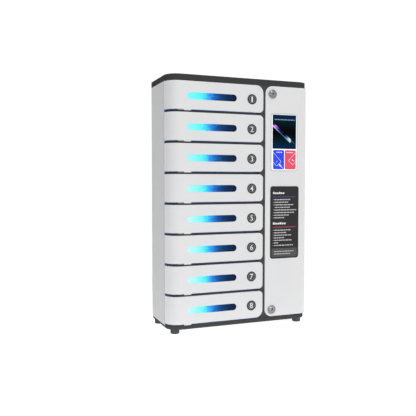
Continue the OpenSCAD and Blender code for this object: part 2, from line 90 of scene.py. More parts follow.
class Finish:
    """A node material in the making: a Principled shader and the nodes that feed it."""

    def __init__(self, name):
        self.material = bpy.data.materials.new(name)
        self.material.use_nodes = True
        self.tree = self.material.node_tree
        self.shader = self.tree.nodes["Principled BSDF"]
        self.place = self.add("ShaderNodeTexCoord").outputs["Object"]

    def add(self, kind, inputs=None, **settings):
        node = self.tree.nodes.new(kind)
        for key, value in settings.items():
            setattr(node, key, value)
        for key, value in (inputs or {}).items():
            self.feed(node.inputs[key], value)
        return node

    def feed(self, socket, value):
        if isinstance(value, bpy.types.NodeSocket):
            self.tree.links.new(value, socket)
        else:
            socket.default_value = value

    def shade(self, inputs):
        for key, value in inputs.items():
            self.feed(self.shader.inputs[key], value)

    def math(self, operation, a, b=0.0, clamp=False):
        node = self.add("ShaderNodeMath", {0: a, 1: b}, operation=operation)
        node.use_clamp = clamp
        return node.outputs[0]

    def mix(self, share, a, b, blend="MIX"):
        node = self.add("ShaderNodeMix", {0: share, 6: a, 7: b}, data_type="RGBA",
                        blend_type=blend)
        return node.outputs[2]

    def axes(self, place=None):
        node = self.add("ShaderNodeSeparateXYZ", {0: place or self.place})
        return node.outputs

    def step(self, value, low, high, to_low=0.0, to_high=1.0):
        """Smooth step from to_low, where value is low, to to_high, where it is high."""
        node = self.add("ShaderNodeMapRange",
                        {"Value": value, "From Min": low, "From Max": high,
                         "To Min": to_low, "To Max": to_high},
                        interpolation_type="SMOOTHSTEP")
        return node.outputs[0]

    def noise(self, scale, detail=2.0, stretch=None, rough=0.5):
        """Noise with scale features in a metre, from 0 to 1."""
        place = self.place
        if stretch:
            place = self.add("ShaderNodeVectorMath", {0: place, 1: stretch},
                             operation="MULTIPLY").outputs[0]
        node = self.add("ShaderNodeTexNoise",
                        {"Vector": place, "Scale": scale, "Detail": detail,
                         "Roughness": rough})
        return node.outputs[0]

    def ramp(self, value, stops, interpolation="LINEAR"):
        """Colour ramp; stops are (place, colour) from 0 to 1."""
        node = self.add("ShaderNodeValToRGB", {0: value})
        node.color_ramp.interpolation = interpolation
        elements = node.color_ramp.elements
        for at, color in stops[2:]:
            elements.new(at)
        for element, (at, color) in zip(elements, stops):
            element.position = at
            element.color = color
        return node.outputs[0]

    def bump(self, height, strength, depth):
        node = self.add("ShaderNodeBump",
                        {"Height": height, "Strength": strength, "Distance": depth})
        self.shade({"Normal": node.outputs[0]})


def powder_coat(name, color, roughness=0.42, peel=0.10, grain=620):
    """Baked powder paint: orange peel, faint mottling and a few rubbed patches."""
    f = Finish(name)
    mottle = f.noise(9, 4)
    rubbed = f.step(f.noise(38, 5, (1, 1, 2.4)), 0.56, 0.74)
    speck = f.step(f.noise(2600, 2), 0.62, 0.8)
    tone = f.mix(mottle, tinted(color, 0.965), tinted(color, 1.03))
    tone = f.mix(f.math("MULTIPLY", speck, 0.10), tone, tinted(color, 0.8))
    f.shade({"Base Color": tone,
             "Roughness": f.step(rubbed, 0, 1, roughness, roughness - 0.07)})
    f.bump(f.noise(grain, 3), peel, 0.15 * MM)
    return f.material


def rubber(name, color):
    f = Finish(name)
    tone = f.mix(f.noise(60, 5), tinted(color, 0.8), tinted(color, 1.5))
    f.shade({"Base Color": tone, "Roughness": f.step(f.noise(220, 3), 0.3, 0.7, 0.62, 0.8)})
    f.bump(f.noise(1500, 2), 0.25, 0.1 * MM)
    return f.material


def leather_grain(name, color):
    """Moulded plastic with fine lines across it and a cell-like grain."""
    f = Finish(name)
    cells = f.add("ShaderNodeTexVoronoi", {"Vector": f.place, "Scale": 900.0},
                  feature="DISTANCE_TO_EDGE").outputs["Distance"]
    lines = f.noise(1.0, 3, (14, 14, 1150))
    tone = f.mix(lines, tinted(color, 0.72), tinted(color, 1.35))
    tone = f.mix(f.math("MULTIPLY", f.noise(12, 4), 0.3), tone, tinted(color, 1.2))
    # Lighter on the lowest 30 mm of the base: painted light from the bright floor below it.
    floor_bounce_paint = f.step(f.axes()[2], 30 * MM, 14 * MM, 0, 0.5)
    f.shade({"Base Color": f.mix(floor_bounce_paint, tone, tinted(color, 1.75)),
             "Roughness": f.step(lines, 0.3, 0.7, 0.66, 0.8), "Specular IOR Level": 0.0})
    f.bump(f.math("ADD", f.math("MULTIPLY", cells, 2.0), lines), 0.18, 0.12 * MM)
    return f.material


def brushed(name, color, stretch, roughness=0.3, metallic=1.0):
    """Metal with fine tool marks drawn out along one direction."""
    f = Finish(name)
    marks = f.noise(1.0, 4, stretch)
    stain = f.noise(70, 4)
    tone = f.mix(marks, tinted(color, 0.82), tinted(color, 1.12))
    tone = f.mix(f.math("MULTIPLY", stain, 0.25), tone, tinted(color, 0.7))
    f.shade({"Base Color": tone, "Metallic": metallic,
             "Roughness": f.step(marks, 0.25, 0.75, roughness - 0.08, roughness + 0.08)})
    f.bump(marks, 0.12, 0.04 * MM)
    return f.material


def smooth_plastic(name, color, roughness=0.25, coat=0.0, sheen=0.5):
    """Moulded plastic with a slight flow pattern and fine scuffs."""
    f = Finish(name)
    flow = f.noise(22, 4, (1, 1, 3))
    scuff = f.step(f.noise(380, 3, (1, 1, 5)), 0.6, 0.8)
    tone = f.mix(flow, tinted(color, 0.95), tinted(color, 1.05))
    f.shade({"Base Color": tone, "Coat Weight": coat, "Coat Roughness": 0.12,
             "Specular IOR Level": sheen,
             "Roughness": f.step(scuff, 0, 1, roughness, roughness + 0.12)})
    f.bump(f.noise(900, 2), 0.05, 0.05 * MM)
    return f.material


def printed(name, color, glow=0.0):
    """Printed film: halftone-fine grain in the ink. The glow is the screen's own light on the
    display, and painted light on the badges and the instruction plate.
    """
    f = Finish(name)
    ink = f.noise(1800, 2)
    tone = f.mix(ink, tinted(color, 0.93), tinted(color, 1.05))
    f.shade({"Base Color": tone, "Roughness": f.step(f.noise(90, 3), 0.3, 0.7, 0.4, 0.5),
             "Specular IOR Level": 0.12, "Emission Color": tone, "Emission Strength": glow})
    f.bump(ink, 0.06, 0.03 * MM)
    return f.material


def circuit(name, color):
    """Solder mask with copper tracks under it, and dark packages on top."""
    f = Finish(name)
    tracks = f.add("ShaderNodeTexBrick",
                   {"Vector": f.place, "Scale": 90.0, "Mortar Size": 0.018,
                    "Color1": tinted(color, 1.0), "Color2": tinted(color, 0.8),
                    "Mortar": tinted(color, 2.0)}).outputs[0]
    speck = f.step(f.noise(420, 3), 0.5, 0.62)
    f.shade({"Base Color": f.mix(f.math("MULTIPLY", speck, 0.35), tracks, tinted(color, 0.5)),
             "Roughness": f.step(speck, 0, 1, 0.28, 0.45)})
    f.bump(speck, 0.2, 0.1 * MM)
    return f.material


def window_glow(name, low, high, pale):
    """Lens lit from pale cyan at its left end to near-black navy; its back is dark."""
    f = Finish(name)
    x, y, z = f.axes()
    ahead = 0.035 * (1 - pale)
    cloud = f.step(f.noise(95, 5, (1, 1, 1.6), 0.6), 0.3, 0.7, ahead - 0.03, ahead + 0.03)
    along = f.add("ShaderNodeMapRange", {"Value": x, "From Min": low.x, "From Max": high.x})
    stops = [(0.0, srgb(128 + 80 * pale, 255, 255)), (0.16, srgb(118 + 54 * pale, 255, 255)),
             (0.32, srgb(84 + 20 * pale, 252, 255)), (0.40, srgb(66, 214, 254)),
             (0.47, srgb(52, 166, 250)), (0.54, srgb(38, 122, 214)), (0.62, srgb(26, 88, 162)),
             (0.72, srgb(18, 62, 116)), (0.84, srgb(14, 44, 82)), (1.0, srgb(11, 35, 65))]
    tone = f.ramp(f.math("ADD", along.outputs[0], cloud), stops)
    middle = (low.z + high.z) / 2
    rim = f.step(f.math("ABSOLUTE", f.math("SUBTRACT", z, middle)),
                 (high.z - low.z) * 0.36, (high.z - low.z) * 0.5)
    right = f.step(x, high.x - 5 * MM, high.x - 1 * MM)
    dark_end = f.step(along.outputs[0], 0.45, 0.8)
    shade = f.math("MULTIPLY", f.math("MAXIMUM", rim, right), dark_end)
    tone = f.mix(f.math("MULTIPLY", shade, 0.6), tone, srgb(2, 16, 52))
    lit = f.step(y, low.y + 1.2 * MM, low.y + 0.7 * MM, 0.0, 0.97)
    back = f.mix(f.noise(160, 3), srgb(62, 63, 67), srgb(78, 79, 83))
    f.shade({"Base Color": f.mix(lit, back, srgb(2, 3, 5)), "Roughness": 0.4,
             "Specular IOR Level": 0.02, "Emission Color": tone, "Emission Strength": lit})
    f.bump(f.noise(400, 2), 0.03, 0.05 * MM)
    return f.material


def led_glow(name, color, strength=1.6):
    f = Finish(name)
    dots = f.math("PINGPONG", f.axes()[1], 5 * MM)
    tone = f.mix(f.step(dots, 1 * MM, 4 * MM), color, tinted(color, 2.0))
    f.shade({"Base Color": tone, "Roughness": f.step(f.noise(300, 2), 0.3, 0.7, 0.3, 0.42),
             "Emission Color": tone, "Emission Strength": strength})
    return f.material


# ---- Mesh pieces ----

def finished(name, mesh, material, body, bevel=0.0, segments=2):
    """Adds a mesh as a piece on a body, with its material and the edge rounding."""
    piece = bpy.data.objects.new(name, mesh)
    bpy.context.scene.collection.objects.link(piece)
    mesh.materials.append(material)
    if bevel:
        round_edges(piece, bevel, segments)
    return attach(piece, body)


def round_edges(piece, width, segments=2, angle=32):
    """Welds split corners, then rounds every edge sharper than the angle."""
    for polygon in piece.data.polygons:
        polygon.use_smooth = True
    weld = piece.modifiers.new("weld", "WELD")
    weld.merge_threshold = 0.002 * MM
    flat = piece.modifiers.new("flat", "DECIMATE")
    flat.decimate_type = "DISSOLVE"
    flat.angle_limit = math.radians(0.4)
    bevel = piece.modifiers.new("round", "BEVEL")
    bevel.width = width
    bevel.segments = segments
    bevel.limit_method = "ANGLE"
    bevel.angle_limit = math.radians(angle)
    bevel.harden_normals = True
    bevel.use_clamp_overlap = True
    bevel.miter_outer = "MITER_ARC"
    even = piece.modifiers.new("even", "WEIGHTED_NORMAL")
    even.mode = "FACE_AREA"
    even.weight = 100


def arc(cx, cz, radius, start, end, steps):
    """Points of an arc, angles in degrees, anticlockwise."""
    turns = [math.radians(start + (end - start) * i / steps) for i in range(steps + 1)]
    return [(cx + radius * math.cos(t), cz + radius * math.sin(t)) for t in turns]


def rounded_outline(left, low, right, high, radius, steps=8):
    r = radius
    return (arc(right - r, low + r, r, -90, 0, steps) + arc(right - r, high - r, r, 0, 90, steps)
            + arc(left + r, high - r, r, 90, 180, steps)
            + arc(left + r, low + r, r, 180, 270, steps))


def add_plate(bm, outline, front, back):
    """A flat plate with that outline in X and Z, between two depths."""
    near = [bm.verts.new((x, front, z)) for x, z in outline]
    rear = [bm.verts.new((x, back, z)) for x, z in outline]
    bm.faces.new(near)
    bm.faces.new(list(reversed(rear)))
    count = len(outline)
    for i in range(count):
        j = (i + 1) % count
        bm.faces.new((near[j], near[i], rear[i], rear[j]))


def add_ring(bm, cx, cz, inner, outer, front, back, steps=64):
    """A flat ring, between two depths."""
    loops = []
    for radius, depth in ((inner, back), (inner, front), (outer, front), (outer, back)):
        outline = arc(cx, cz, radius, 0, 360, steps)[:-1]
        loops.append([bm.verts.new((x, depth, z)) for x, z in outline])
    for a, b in zip(loops, loops[1:] + loops[:1]):
        for i in range(steps):
            j = (i + 1) % steps
            bm.faces.new((a[i], a[j], b[j], b[i]))


def add_collar(bm, outer, inner, front, back):
    """A flat collar between two outlines with equal numbers of points."""
    rows = [[bm.verts.new((x, y, z)) for x, z in line]
            for line, y in ((outer, front), (outer, back), (inner, back), (inner, front))]
    count = len(outer)
    for a, b in zip(rows, rows[1:] + rows[:1]):
        for i in range(count):
            j = (i + 1) % count
            bm.faces.new((a[i], a[j], b[j], b[i]))


def mesh_from(name, fill):
    """A mesh that fill() draws in a bmesh, with its normals facing out."""
    mesh = bpy.data.meshes.new(name)
    bm = bmesh.new()
    fill(bm)
    bmesh.ops.recalc_face_normals(bm, faces=bm.faces)
    bm.to_mesh(mesh)
    bm.free()
    return mesh


# Thickening (as a share of the height) and widening of the numerals: the 1, then the others
NARROW_NUMERAL = (0.026, 1.5)
OTHER_NUMERALS = (0.008, 1.0)


def digit_mesh(name, digit, cx, cz, height, front, back):
    """A numeral, drawn upright and centred, between two depths."""
    thicker, wider = NARROW_NUMERAL if digit == 1 else OTHER_NUMERALS
    curve = bpy.data.curves.new(name, "FONT")
    curve.body = str(digit)
    curve.size = height * 1.38
    curve.extrude = (back - front) / 2
    curve.offset = height * thicker
    curve.resolution_u = 6
    holder = bpy.data.objects.new(name, curve)
    bpy.context.scene.collection.objects.link(holder)
    bpy.context.view_layer.update()
    shape = holder.evaluated_get(bpy.context.evaluated_depsgraph_get())
    mesh = bpy.data.meshes.new_from_object(shape)
    mesh.name = name
    xs = [v.co.x for v in mesh.vertices]
    ys = [v.co.y for v in mesh.vertices]
    middle_x, middle_y = (min(xs) + max(xs)) / 2, (min(ys) + max(ys)) / 2
    for v in mesh.vertices:
        v.co = Vector((cx + (v.co.x - middle_x) * wider, (front + back) / 2 - v.co.z,
                       cz + v.co.y - middle_y))
    bpy.data.objects.remove(holder)
    bpy.data.curves.remove(curve)
    mesh.materials.clear()
    return mesh


# ---- Finishes of the CAD nodes ----

charcoal = srgb(52, 52, 54)
finishes = {
    "cap_and_base": leather_grain("cap_and_base", srgb(65, 65, 65)),
    "foot_rubber": rubber("foot_rubber", srgb(66, 66, 68)),
    # The shell's white is set darker than the doors' white: painted shade on the side panels.
    "white_shell": powder_coat("white_shell", srgb(200, 201, 202)),
    "white_door": powder_coat("white_door", srgb(232, 232, 233)),
    "seam_trim": smooth_plastic("seam_trim", srgb(186, 194, 210), 0.34, 0.1),
    "divider": powder_coat("divider", charcoal, 0.5, 0.08),
    # The shelves' dark grey is partly their paint and partly painted shade for the gaps between
    # the bay doors.
    "shelf_dark": powder_coat("shelf_dark", srgb(46, 47, 50), 0.5),
    "bay_wall": powder_coat("bay_wall", srgb(206, 208, 212)),
    "grommet_rubber": rubber("grommet_rubber", srgb(30, 30, 32)),
    "steel_pins": brushed("steel_pins", srgb(196, 196, 198), (60, 60, 2400), 0.28),
    "lock_body": smooth_plastic("lock_body", srgb(50, 51, 54), 0.45),
    "led_light": led_glow("led_light", srgb(150, 226, 255)),
    "circuit_board": circuit("circuit_board", srgb(34, 112, 72)),
    "power_supply_case": brushed("power_supply_case", srgb(198, 199, 202), (40, 40, 1800), 0.36),
    "inlet_plastic": smooth_plastic("inlet_plastic", srgb(34, 34, 36), 0.4),
    "screw_steel": brushed("screw_steel", srgb(204, 204, 208), (900, 900, 900), 0.26),
    "display_frame": smooth_plastic("display_frame", srgb(248, 248, 250), 0.22, 0.3),
    "screen_glass": printed("screen_glass", srgb(250, 250, 252), 0.35),
    "housing_dark": powder_coat("housing_dark", srgb(50, 50, 54), 0.5),
    "instruction_plate": smooth_plastic("instruction_plate", srgb(50, 49, 50), 0.4, 0, 0.15),
    "lock_chrome": brushed("lock_chrome", srgb(168, 168, 170), (700, 30, 700), 0.26),
    "lock_plug_steel": brushed("lock_plug_steel", srgb(172, 172, 174), (900, 30, 900), 0.3),
    "badge_dark": smooth_plastic("badge_dark", srgb(50, 50, 52), 0.34, 0, 0.15),
}

# Edge rounding of each slot's nodes, in metres
rounding = {
    "cap_and_base": 0.9 * MM, "foot_rubber": 0.5 * MM, "white_shell": 0.25 * MM,
    "white_door": 0.45 * MM, "seam_trim": 0.3 * MM, "divider": 0.25 * MM,
    "shelf_dark": 0.25 * MM, "bay_wall": 0.2 * MM, "grommet_rubber": 0.3 * MM,
    "steel_pins": 0.25 * MM, "lock_body": 0.6 * MM, "led_light": 0.4 * MM,
    "circuit_board": 0.15 * MM, "power_supply_case": 0.4 * MM, "inlet_plastic": 0.4 * MM,
    "screw_steel": 0.2 * MM, "display_frame": 0.35 * MM, "screen_glass": 0.2 * MM,
    "housing_dark": 0.6 * MM, "instruction_plate": 0.25 * MM, "lock_chrome": 0.4 * MM,
    "lock_plug_steel": 0.2 * MM, "window_lens": 0.3 * MM, "badge_dark": 0.25 * MM,
}


def finish_nodes():
    """Gives every CAD node its material and its rounded edges."""
    for part in frame["record"]["subparts"]:
        name, slot = part["node"], part["material_slot"]
        node = frame["nodes"][name]
        if slot == "window_lens":
            pale = min(1, (int(name[-1]) - 1) / 4)    # the lower windows look paler
            material = window_glow(name + "_glow", *window_corners(name), pale)
        else:
            material = finishes[slot]
        node.data.materials.clear()
        node.data.materials.append(material)
        if "custom_normal" in node.data.attributes:
            node.data.attributes.remove(node.data.attributes["custom_normal"])
        round_edges(node, rounding[slot])


def window_corners(name):
    """Lower left and upper right corner of the visible lens of a window node."""
    low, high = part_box(name)
    left = LEFT_SIDE + WINDOW_LEFT
    middle = (low.z + high.z) / 2 - WINDOW_DROP
    return (Vector((left, low.y, middle - WINDOW_HEIGHT / 2)),
            Vector((left + WINDOW_LENGTH, low.y, middle + WINDOW_HEIGHT / 2)))


# ---- Badges ----

def add_dome(bm, cx, cz, radius, front, back, rings=6, steps=48):
    """A shallow domed disc: a rounded lens whose middle reaches the front depth."""
    middle = bm.verts.new((cx, front, cz))
    loops = []
    for i in range(1, rings + 1):
        share = i / rings
        depth = front + (back - front) * share ** 3
        loops.append([bm.verts.new((x, depth, z))
                      for x, z in arc(cx, cz, radius * share, 0, 360, steps)[:-1]])
    for i in range(steps):
        j = (i + 1) % steps
        bm.faces.new((middle, loops[0][i], loops[0][j]))
        for a, b in zip(loops, loops[1:]):
            bm.faces.new((a[i], b[i], b[j], a[j]))
    bm.faces.new(loops[-1])


def badge_details():
    """Inner disc, ring and numeral on each number badge."""
    # The numerals and the rings glow a little: painted light on unlit print.
    numeral_print = printed("numeral_print", srgb(228, 229, 231), 0.16)
    ring_print = printed("ring_print", srgb(150, 151, 154), 0.1)
    disc_print = printed("disc_print", srgb(80, 81, 83))
    for n in BAYS:
        low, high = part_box(f"badge_{n}")
        cx, cz, radius = (low.x + high.x) / 2, (low.z + high.z) / 2, (high.x - low.x) / 2
        body = f"bay_door_{n}"
        face = low.y + 0.05 * MM
        disc = mesh_from(f"badge_disc_{n}", lambda bm: add_dome(
            bm, cx, cz, radius * 0.64, low.y - 0.1 * MM, face))
        finished(f"badge_disc_{n}", disc, disc_print, body)
        ring = mesh_from(f"badge_ring_{n}", lambda bm: add_ring(
            bm, cx, cz, radius * 0.65, radius * 0.73, low.y - 0.14 * MM, face))
        finished(f"badge_ring_{n}", ring, ring_print, body, 0.05 * MM)
        numeral = digit_mesh(f"numeral_{n}", n, cx, cz, radius * 1.06,
                             low.y - 0.24 * MM, low.y - 0.04 * MM)
        finished(f"numeral_{n}", numeral, numeral_print, body)


# ---- Painted glow strip and buffer under each bay door ----

# Places across the cabinet, from its left side: the glow strip's two lengths and the buffer
GAP_GLOW_PLACES = ((0, 27 * MM), (67 * MM, 255 * MM))
GAP_GLOW_DEPTHS = (0.25 * MM, 2.6 * MM)
GAP_GLOW_HIGH = 0.9 * MM
BUFFER = (28.5 * MM, 43 * MM)
BUFFER_DEPTHS = (0.35 * MM, 3.2 * MM)
BUFFER_HIGH = 2.7 * MM
TUCKED_IN = 0.2 * MM


def edge_line(inset, start, end, steps=12):
    """Plan points along a bay door's face, set in from it, between two places across."""
    if start > CORNER_RADIUS:
        return [(start, inset), (end, inset)]
    turn = CORNER_RADIUS - inset
    first = math.asin(min(1, (CORNER_RADIUS - start) / turn))
    last = math.asin(max(0, CORNER_RADIUS - end) / turn)
    points = [(inset, CORNER_RADIUS - 1 * MM)] if start <= inset else []
    for i in range(steps + 1):
        t = first + (last - first) * i / steps
        points.append((CORNER_RADIUS - turn * math.sin(t), CORNER_RADIUS - turn * math.cos(t)))
    if end > CORNER_RADIUS:
        points.append((end, inset))
    return points


def add_band(bm, places, depths, low, high):
    """A flat band that follows a bay door's face, between two depths and two heights."""
    outer, inner = (edge_line(depth, *places) for depth in depths)
    rows = [[bm.verts.new((LEFT_SIDE + x, FRONT + y, z)) for x, y in line]
            for line, z in ((outer, low), (outer, high), (inner, high), (inner, low))]
    for a, b in zip(rows, rows[1:] + rows[:1]):
        for i in range(len(outer) - 1):
            bm.faces.new((a[i], a[i + 1], b[i + 1], b[i]))
    bm.faces.new([row[0] for row in rows])
    bm.faces.new([row[-1] for row in reversed(rows)])


def door_edges():
    """Glowing blue strip along the bottom edge of each bay door, a painted glow for the blue
    glints in the door gaps, and its nylon buffer.
    """
    # The strip's blue glow is painted light: the glints in the gaps under the doors, not a lamp.
    gap_glow_finish = led_glow("painted_gap_glow", srgb(38, 84, 138), 0.8)
    buffer_finish = smooth_plastic("buffer_nylon", srgb(158, 159, 162), 0.4)
    for n in BAYS:
        low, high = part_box(f"window_{n}")
        edge = (low.z + high.z) / 2 - DOOR_HEIGHT / 2
        body = f"bay_door_{n}"
        buffer_high = BUFFER_HIGH * min(1, (9 - n) / 4)    # flatter ones on the lowest doors

        def guides(bm):
            for places in GAP_GLOW_PLACES:
                add_band(bm, places, GAP_GLOW_DEPTHS, edge - GAP_GLOW_HIGH, edge + TUCKED_IN)
        gap_glow_mesh = mesh_from(f"edge_gap_glow_{n}", guides)
        finished(f"edge_gap_glow_{n}", gap_glow_mesh, gap_glow_finish, body, 0.15 * MM)
        buffer = mesh_from(f"door_buffer_{n}", lambda bm: add_band(
            bm, BUFFER, BUFFER_DEPTHS, edge - buffer_high, edge + TUCKED_IN))
        finished(f"door_buffer_{n}", buffer, buffer_finish, body, 0.5 * MM, 3)


# ---- Display ----

# Millimetres from the top left corner of the display frame: left, top, right, bottom
PICTURE = (4.2, 2.5, 82.2, 101.6)
BLUE_BUTTON = (6.2, 104.9, 42.8, 161.3)
RED_BUTTON = (44.9, 104.9, 81.8, 161.3)
PRINT_THICK = 0.12 * MM


def outline_below(left, top, area, radius):
    """Rounded outline of an area given in millimetres from a top left corner."""
    x0, z0, x1, z1 = (v * MM for v in area)
    return rounded_outline(left + x0, top - z1, left + x1, top - z0, radius * MM, 6)


def stroke(points, width):
    """Outline of a bent line with mitred corners."""
    points = [Vector(p) for p in points]
    sides = []
    for i, point in enumerate(points):
        before = (point - points[i - 1]).normalized() if i else None
        after = (points[i + 1] - point).normalized() if i + 1 < len(points) else None
        along = ((before or after) + (after or before)).normalized()
        across = Vector((-along.y, along.x))
        lean = Vector((-(after or before).y, (after or before).x)).dot(across)
        sides.append(across * width / 2 / max(lean, 0.3))
    near = [tuple(p + s) for p, s in zip(points, sides)]
    far = [tuple(p - s) for p, s in zip(points, sides)]
    return near + far[::-1]


def word_bars(rng, start, end, middle, height, word=(3.2, 9.5), gap=1.0):
    """Outlines of short bars that stand for the words of one line."""
    bars = []
    x = start
    while end - x > word[0] * MM:
        right = min(end, x + rng.uniform(*word) * MM)
        if end - right < word[0] * MM:
            right = end
        bars.append(rounded_outline(x, middle - height / 2, right, middle + height / 2,
                                    height * 0.42, 3))
        x = right + gap * MM
    return bars


def plates(name, outlines, face, material, body, lift=1):
    """One piece of flat printed shapes that lie on a face, lift layers up."""
    def draw(bm):
        for outline in outlines:
            add_plate(bm, outline, face - lift * PRINT_THICK, face + 0.02 * MM)
    return finished(name, mesh_from(name, draw), material, body)


def picture_finish(left, top, width, height):
    """Lit picture: dark sea blue with a phone seen along its edge."""
    f = Finish("picture")
    x, y, z = f.axes()
    down = f.math("SUBTRACT", top, z)
    back = f.ramp(f.math("DIVIDE", down, height),
                  [(0.0, srgb(0, 34, 74)), (0.07, srgb(0, 38, 72)), (0.16, srgb(0, 29, 46)),
                   (0.3, srgb(0, 20, 24)), (0.42, srgb(0, 3, 4)), (0.56, srgb(0, 2, 3)),
                   (0.68, srgb(0, 18, 22)), (0.8, srgb(0, 31, 42)), (0.93, srgb(0, 38, 72)),
                   (1.0, srgb(0, 26, 68))])
    # s runs down the phone's edge from the left border of the picture, t lies across it
    lean = math.radians(39.1)
    right = f.math("SUBTRACT", x, left)
    below = f.math("SUBTRACT", down, 0.345 * height)
    s = f.math("ADD", f.math("MULTIPLY", right, math.cos(lean)),
               f.math("MULTIPLY", below, math.sin(lean)))
    t = f.math("SUBTRACT", f.math("MULTIPLY", right, math.sin(lean)),
               f.math("MULTIPLY", below, math.cos(lean)))
    length, thick, rim = 75 * MM, 10.8 * MM, 3 * MM
    share = f.math("DIVIDE", s, length)
    end_round = f.math("MULTIPLY", f.step(t, 0.5 * thick, 1.3 * thick), 9 * MM)
    cut = f.step(down, 0.285 * height, 0.31 * height)
    inside = f.math("MULTIPLY", cut, f.step(f.math("ADD", s, end_round), length,
                                            length - 1 * MM))
    body = f.math("MULTIPLY", inside, f.math("MULTIPLY", f.step(t, 0, 0.5 * MM),
                                             f.step(t, thick, thick - 1.5 * MM)))
    edge = f.math("MULTIPLY", inside, f.math("MULTIPLY", f.step(t, 0, 0.6 * MM),
                                             f.step(t, rim + 0.4 * MM, rim - 0.8 * MM)))
    glass = f.ramp(share, [(0.0, srgb(150, 70, 170)), (0.08, srgb(226, 136, 246)),
                           (0.17, srgb(160, 72, 226)), (0.27, srgb(64, 14, 150)),
                           (0.4, srgb(6, 2, 26)), (0.64, srgb(2, 2, 8)),
                           (0.75, srgb(70, 96, 140)), (0.88, srgb(212, 232, 240)),
                           (1.0, srgb(168, 208, 222))])
    metal = f.ramp(share, [(0.0, srgb(206, 232, 240)), (0.18, srgb(150, 190, 208)),
                           (0.42, srgb(52, 92, 132)), (0.62, srgb(60, 108, 158)),
                           (0.85, srgb(120, 190, 222)), (1.0, srgb(160, 214, 236))])
    spot = f.math("ADD", f.math("POWER", f.math("SUBTRACT", s, 35 * MM), 2.0),
                  f.math("POWER", f.math("SUBTRACT", t, 7.4 * MM), 2.0))
    lead = f.math("MULTIPLY", f.step(f.math("ABSOLUTE", f.math("SUBTRACT", t, 7.6 * MM)),
                                     1.3 * MM, 0.4 * MM), f.step(s, 72 * MM, 74 * MM))
    tone = f.mix(body, back, glass)
    tone = f.mix(edge, tone, metal)
    tone = f.mix(f.math("MULTIPLY", f.step(spot, (2.2 * MM) ** 2, (0.8 * MM) ** 2), 0.5), tone,
                 srgb(96, 84, 104))
    tone = f.mix(lead, tone, f.ramp(f.math("DIVIDE", s, 96 * MM),
                                    [(0.0, srgb(70, 98, 114)), (0.8, srgb(70, 98, 114)),
                                     (1.0, srgb(12, 44, 58))]))
    grain = f.noise(1500, 1)
    f.shade({"Base Color": srgb(2, 3, 6), "Roughness": f.step(grain, 0.3, 0.7, 0.12, 0.18),
             "Specular IOR Level": 0.03, "Emission Color": tone, "Emission Strength": 1.0})
    return f.material


def button_finish(name, color):
    """Lit button: even colour with a soft lighter sweep over it."""
    f = Finish(name)
    sweep = f.noise(18, 2)
    tone = f.mix(sweep, tinted(color, 0.9), tinted(color, 1.12))
    f.shade({"Base Color": tinted(color, 0.05), "Emission Color": tone,
             "Emission Strength": 0.95, "Specular IOR Level": 0.05,
             "Roughness": f.step(f.noise(900, 1), 0.3, 0.7, 0.16, 0.24)})
    return f.material


def display():
    """The lit picture, the two buttons and their line drawings."""
    frame_low, frame_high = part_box("display_frame")
    left, top = frame_low.x, frame_high.z
    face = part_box("display_screen")[0].y
    rng = random.Random(5)
    door_face = frame_low.y + 1 * MM

    # Grey ring round the display frame: its grey paints the soft shadow line round the frame.
    def gasket(bm):
        lines = [rounded_outline(frame_low.x - grow, frame_low.z - grow, frame_high.x + grow,
                                 frame_high.z + grow, 6 * MM + grow, 8)
                 for grow in (1.5 * MM, 0.05 * MM)]
        add_collar(bm, *lines, door_face - 0.55 * MM, door_face + 0.05 * MM)
    finished("display_shade_ring", mesh_from("display_shade_ring", gasket),
             rubber("shade_ring_grey", srgb(176, 178, 186)), "service", 0.2 * MM)
    x0, z0, x1, z1 = (v * MM for v in PICTURE)
    plates("screen_picture", [outline_below(left, top, PICTURE, 1.6)], face,
           picture_finish(left + x0, top - z0, x1 - x0, z1 - z0), "service")
    header = word_bars(rng, left + x0 + 6.5 * MM, left + x1 - 4.5 * MM, top - z0 - 14 * MM,
                       2.2 * MM, (3, 11), 1.2)
    plates("screen_header", header, face, printed("header_print", srgb(118, 130, 150), 0.8),
           "service", 2)
    white_line = printed("button_line", srgb(186, 192, 226), 0.6)
    for name, area, color, slot, lines in (
            ("blue", BLUE_BUTTON, srgb(48, 78, 246), "printed_blue",
             [[(0.01, 0.13), (0.73, 0.60), (0.34, 0.83), (0.01, 0.64)]]),
            ("red", RED_BUTTON, srgb(234, 88, 104), "printed_red",
             [[(0.99, 0.12), (0.33, 0.54), (0.71, 0.765), (0.99, 0.59)]])):
        x0, z0, x1, z1 = (v * MM for v in area)

        def at(share):
            return (left + x0 + share[0] * (x1 - x0), top - z0 - share[1] * (z1 - z0))
        plates(f"button_{name}", [outline_below(left, top, area, 4)], face,
               button_finish(f"button_{name}", color), "service")
        shapes = [stroke([at(p) for p in line], 1.05 * MM) for line in lines]
        label_z = at((0, 0.12))[1]
        shapes += word_bars(rng, at((0.3 if name == "blue" else 0.14, 0))[0],
                            at((0.88 if name == "blue" else 0.83, 0))[0], label_z, 2.8 * MM,
                            (2.4, 4.6), 0.8)
        if name == "blue":
            shapes.append(stroke([at((0.27, 0.59)), at((0.32, 0.63)), at((0.39, 0.57))], 0.8 * MM))
            shapes.append(plug_shape(at((0.5, 0.72)), at((0.88, 0.95))))
        else:
            shapes.append(stroke([at((0.66, 0.485)), at((0.79, 0.555))], 3.4 * MM))
        plates(f"button_{name}_marks", shapes, face, white_line, "service", 2)


def plug_shape(start, end):
    """Outline of a connector with its lead: narrow, wide, then drawn out to a point."""
    start, end = Vector(start), Vector(end)
    along = (end - start).normalized()
    across = Vector((-along.y, along.x))
    length = (end - start).length
    profile = ((0.0, 1.1), (0.12, 1.1), (0.14, 2.4), (0.5, 2.4), (0.62, 0.9), (1.0, 0.5))
    near = [start + along * (share * length) + across * (half * MM) for share, half in profile]
    far = [start + along * (share * length) - across * (half * MM) for share, half in profile]
    return [tuple(p) for p in near + far[::-1]]


# ---- Instruction plate ----

